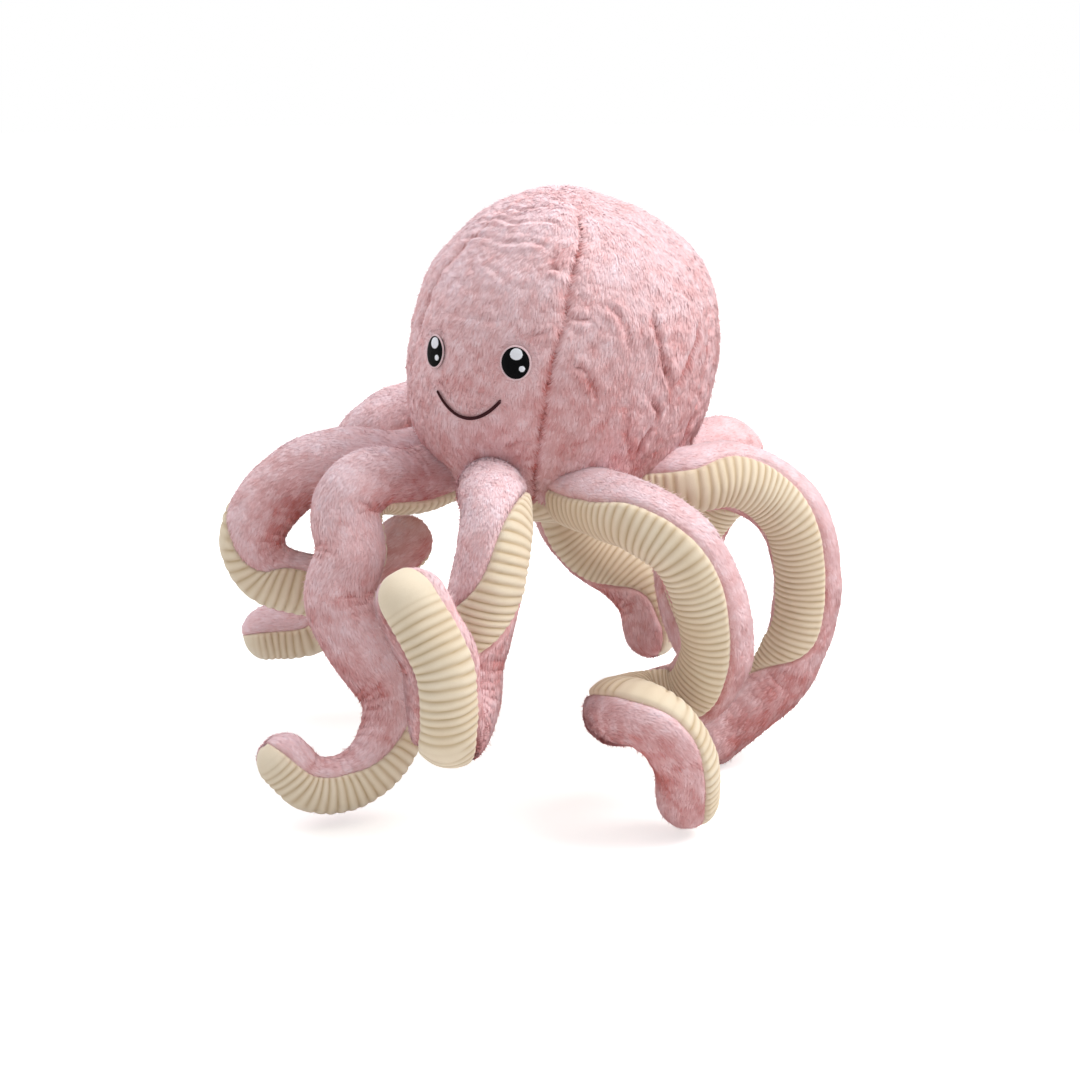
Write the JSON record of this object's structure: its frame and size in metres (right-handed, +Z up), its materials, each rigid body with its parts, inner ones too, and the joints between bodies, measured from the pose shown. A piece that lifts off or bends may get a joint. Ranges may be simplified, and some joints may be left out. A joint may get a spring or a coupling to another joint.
{
  "type": "plush octopus",
  "caption": "Soft toy octopus with a round fur head, an embroidered face and long stuffed arms with ribbed undersides that swing at their sewn roots.",
  "frame": {"origin": "middle of the flat underside of the body, where it rests on what holds it up", "axes": "+Z up, the face looks along -Y, +X is the toy's left side"},
  "size_m": [0.5635, 0.5637, 0.5504],
  "materials": {
    "pink_fur": "short dense pink plush pile",
    "cream_cord": "soft cream cloth with raised ribs across the arm",
    "white_fibre": "loose white polyester filling",
    "black_thread": "dense black satin embroidery",
    "pale_thread": "pale embroidered border",
    "white_thread": "white satin embroidery",
    "maroon_thread": "dark maroon embroidered line"
  },
  "bodies": {
    "head": {"gore_face": "pink_fur", "gore_left": "pink_fur", "gore_back_left": "pink_fur", "gore_back_right": "pink_fur", "gore_right": "pink_fur", "under_panel": "cream_cord", "head_stuffing": "white_fibre", "eye_left_outline": "pale_thread", "eye_left_black": "black_thread", "eye_left_big_glint": "white_thread", "eye_left_small_glint": "white_thread", "eye_right_outline": "pale_thread", "eye_right_black": "black_thread", "eye_right_big_glint": "white_thread", "eye_right_small_glint": "white_thread", "smile": "maroon_thread"},
    "arm_front": {"arm_front_fur": "pink_fur", "arm_front_cord": "cream_cord", "arm_front_stuffing": "white_fibre"},
    "arm_front_left": {"arm_front_left_fur": "pink_fur", "arm_front_left_cord": "cream_cord", "arm_front_left_stuffing": "white_fibre"},
    "arm_left": {"arm_left_fur": "pink_fur", "arm_left_cord": "cream_cord", "arm_left_stuffing": "white_fibre"},
    "arm_back_left": {"arm_back_left_fur": "pink_fur", "arm_back_left_cord": "cream_cord", "arm_back_left_stuffing": "white_fibre"},
    "arm_back": {"arm_back_fur": "pink_fur", "arm_back_cord": "cream_cord", "arm_back_stuffing": "white_fibre"},
    "arm_back_right": {"arm_back_right_fur": "pink_fur", "arm_back_right_cord": "cream_cord", "arm_back_right_stuffing": "white_fibre"},
    "arm_right": {"arm_right_fur": "pink_fur", "arm_right_cord": "cream_cord", "arm_right_stuffing": "white_fibre"},
    "arm_front_right": {"arm_front_right_fur": "pink_fur", "arm_front_right_cord": "cream_cord", "arm_front_right_stuffing": "white_fibre"}
  },
  "joints": [
    {"name": "arm_front_root", "type": "hinge", "parent": "head", "child": "arm_front", "pos_m": [0, -0.10454, 0.042], "axis": [-1, 0, 0], "range_deg": [-10, 20], "stiffness_Nm_per_rad": 2, "springref_deg": 1.68},
    {"name": "arm_front_left_root", "type": "hinge", "parent": "head", "child": "arm_front_left", "pos_m": [0.07392, -0.07392, 0.042], "axis": [-0.7071, -0.7071, 0], "range_deg": [-10, 20], "stiffness_Nm_per_rad": 2, "springref_deg": 1.51},
    {"name": "arm_left_root", "type": "hinge", "parent": "head", "child": "arm_left", "pos_m": [0.10454, 0, 0.042], "axis": [0, -1, 0], "range_deg": [-10, 20], "stiffness_Nm_per_rad": 2, "springref_deg": 0.93},
    {"name": "arm_back_left_root", "type": "hinge", "parent": "head", "child": "arm_back_left", "pos_m": [0.07392, 0.07392, 0.042], "axis": [0.7071, -0.7071, 0], "range_deg": [-10, 20], "stiffness_Nm_per_rad": 2, "springref_deg": 0.65},
    {"name": "arm_back_root", "type": "hinge", "parent": "head", "child": "arm_back", "pos_m": [0, 0.10454, 0.042], "axis": [1, 0, 0], "range_deg": [-10, 20], "stiffness_Nm_per_rad": 2, "springref_deg": 1.03},
    {"name": "arm_back_right_root", "type": "hinge", "parent": "head", "child": "arm_back_right", "pos_m": [-0.07392, 0.07392, 0.042], "axis": [0.7071, 0.7071, 0], "range_deg": [-10, 20], "stiffness_Nm_per_rad": 2, "springref_deg": 1.01},
    {"name": "arm_right_root", "type": "hinge", "parent": "head", "child": "arm_right", "pos_m": [-0.10454, 0, 0.042], "axis": [0, 1, 0], "range_deg": [-10, 20], "stiffness_Nm_per_rad": 2, "springref_deg": 1.16},
    {"name": "arm_front_right_root", "type": "hinge", "parent": "head", "child": "arm_front_right", "pos_m": [-0.07392, -0.07392, 0.042], "axis": [-0.7071, 0.7071, 0], "range_deg": [-10, 20], "stiffness_Nm_per_rad": 2, "springref_deg": 1.32}
  ]
}
